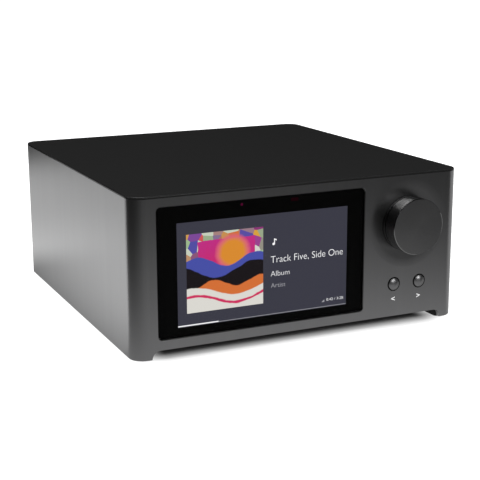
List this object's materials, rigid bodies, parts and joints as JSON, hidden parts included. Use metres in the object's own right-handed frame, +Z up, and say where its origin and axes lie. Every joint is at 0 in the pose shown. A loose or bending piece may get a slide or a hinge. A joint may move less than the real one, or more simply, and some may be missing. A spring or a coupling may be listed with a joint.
{
  "type": "streaming amplifier",
  "caption": "Half-width metal amplifier with a front screen, a round volume knob, track buttons and a rear panel of speaker, line, network and mains sockets.",
  "frame": {"origin": "on the floor, under the middle of the whole object's box", "axes": "+Z up, -Y towards the front face with the screen, +X to the right as seen from the front"},
  "size_m": [0.218, 0.266, 0.096],
  "materials": {
    "satin_metal": "fine vertical grain, anodised grey",
    "gloss_black": "polished black",
    "plain_steel": "zinc plated sheet",
    "black_sheet": "fine black powder coat",
    "foot_rubber": "matt moulded rubber",
    "screw_steel": "blackened steel",
    "front_glass": "clear with a black border",
    "screen": "screen face, lit in use",
    "black_plastic": "moulded black",
    "lamp_red": "clear red lamp",
    "knob_metal": "turned, polished dark grey",
    "hub_plastic": "moulded",
    "bright_metal": "machined",
    "brass_nut": "nickel-plated",
    "button_metal": "polished dark grey",
    "circuit_board": "glass-fibre board with black parts",
    "shield_can": "tinned",
    "flex_film": "amber film",
    "transformer_core": "ferrite with taped coil",
    "can_sleeve": "sleeved can",
    "socket_metal": "nickel-plated shell",
    "gold_plate": "gold-plated",
    "insert_plastic": "moulded insulator",
    "wire_plastic": "insulated wire",
    "washer_metal": "gold-plated",
    "cap_red": "moulded red",
    "cap_black": "moulded black"
  },
  "bodies": {
    "cabinet": {"amplifier_board": "circuit_board", "base_tray": "black_sheet", "board_spacers": "bright_metal", "case_screws": "screw_steel", "case_wrap": "satin_metal", "control_board": "circuit_board", "display_flex": "flex_film", "display_glass": "front_glass", "display_retainer": "plain_steel", "encoder_body": "black_plastic", "encoder_nut": "brass_nut", "ethernet_socket": "socket_metal", "feet": "foot_rubber", "front_frame": "black_plastic", "front_frame_screws": "screw_steel", "hdmi_socket": "socket_metal", "heat_sink": "bright_metal", "infrared_receiver": "black_plastic", "inlet_blades": "socket_metal", "inner_screws": "screw_steel", "lid_plate": "plain_steel", "line_block": "black_plastic", "line_collars": "gold_plate", "line_inserts": "insert_plastic", "main_board": "circuit_board", "mains_inlet": "black_plastic", "mains_wires": "wire_plastic", "mini_sockets": "black_plastic", "optical_socket": "black_plastic", "power_board": "circuit_board", "push_switches": "black_plastic", "rear_panel": "black_sheet", "rear_panel_screws": "screw_steel", "reservoir_capacitors": "can_sleeve", "screen_module": "screen", "speaker_wires": "wire_plastic", "standby_lamp": "lamp_red", "streaming_module": "shield_can", "switch_housing": "black_plastic", "terminal_nuts": "brass_nut", "terminal_plate": "black_plastic", "terminal_studs": "gold_plate", "top_panel": "gloss_black", "transformer": "transformer_core", "usb_socket": "socket_metal"},
    "knob": {"volume_knob": "knob_metal", "knob_hub": "hub_plastic", "encoder_shaft": "bright_metal"},
    "previous_key": {"previous_button": "button_metal"},
    "next_key": {"next_button": "button_metal"},
    "power_key": {"power_rocker": "black_plastic"},
    "optical_flap": {"optical_shutter": "black_plastic"},
    "washer_right_negative": {"clamp_washer_right_negative": "washer_metal"},
    "cap_right_negative": {"terminal_cap_right_negative": "cap_black"},
    "washer_right_positive": {"clamp_washer_right_positive": "washer_metal"},
    "cap_right_positive": {"terminal_cap_right_positive": "cap_red"},
    "washer_left_negative": {"clamp_washer_left_negative": "washer_metal"},
    "cap_left_negative": {"terminal_cap_left_negative": "cap_black"},
    "washer_left_positive": {"clamp_washer_left_positive": "washer_metal"},
    "cap_left_positive": {"terminal_cap_left_positive": "cap_red"}
  },
  "joints": [
    {"name": "volume_turn", "type": "hinge", "parent": "cabinet", "child": "knob", "pos_m": [0.072, -0.1212, 0.0643], "axis": [0, -1, 0], "continuous": true},
    {"name": "previous_press", "type": "slide", "parent": "cabinet", "child": "previous_key", "axis": [0, 1, 0], "range_m": [0, 0.0008], "stiffness_N_per_m": 600, "springref_m": -0.0005},
    {"name": "next_press", "type": "slide", "parent": "cabinet", "child": "next_key", "axis": [0, 1, 0], "range_m": [0, 0.0008], "stiffness_N_per_m": 600, "springref_m": -0.0005},
    {"name": "power_tip", "type": "hinge", "parent": "cabinet", "child": "power_key", "pos_m": [0.08, 0.1028, 0.064], "axis": [-1, 0, 0], "range_deg": [0, 16]},
    {"name": "flap_swing", "type": "hinge", "parent": "cabinet", "child": "optical_flap", "pos_m": [-0.015, 0.10545, 0.02525], "axis": [-1, 0, 0], "range_deg": [0, 85], "stiffness_Nm_per_rad": 0.0004, "springref_deg": -11.46},
    {"name": "right_negative_travel", "type": "slide", "parent": "cabinet", "child": "washer_right_negative", "axis": [0, 1, 0], "range_m": [0, 0.004]},
    {"name": "right_negative_turn", "type": "hinge", "parent": "washer_right_negative", "child": "cap_right_negative", "pos_m": [0.022, 0.12, 0.041], "axis": [0, 1, 0], "range_deg": [0, 1440]},
    {"name": "right_positive_travel", "type": "slide", "parent": "cabinet", "child": "washer_right_positive", "axis": [0, 1, 0], "range_m": [0, 0.004]},
    {"name": "right_positive_turn", "type": "hinge", "parent": "washer_right_positive", "child": "cap_right_positive", "pos_m": [0.022, 0.12, 0.063], "axis": [0, 1, 0], "range_deg": [0, 1440]},
    {"name": "left_negative_travel", "type": "slide", "parent": "cabinet", "child": "washer_left_negative", "axis": [0, 1, 0], "range_m": [0, 0.004]},
    {"name": "left_negative_turn", "type": "hinge", "parent": "washer_left_negative", "child": "cap_left_negative", "pos_m": [0.044, 0.12, 0.041], "axis": [0, 1, 0], "range_deg": [0, 1440]},
    {"name": "left_positive_travel", "type": "slide", "parent": "cabinet", "child": "washer_left_positive", "axis": [0, 1, 0], "range_m": [0, 0.004]},
    {"name": "left_positive_turn", "type": "hinge", "parent": "washer_left_positive", "child": "cap_left_positive", "pos_m": [0.044, 0.12, 0.063], "axis": [0, 1, 0], "range_deg": [0, 1440]}
  ],
  "couplings": [
    {"joint": "right_negative_turn", "follows": "right_negative_travel", "rad_per_m": 6283.2},
    {"joint": "right_positive_turn", "follows": "right_positive_travel", "rad_per_m": 6283.2},
    {"joint": "left_negative_turn", "follows": "left_negative_travel", "rad_per_m": 6283.2},
    {"joint": "left_positive_turn", "follows": "left_positive_travel", "rad_per_m": 6283.2}
  ]
}
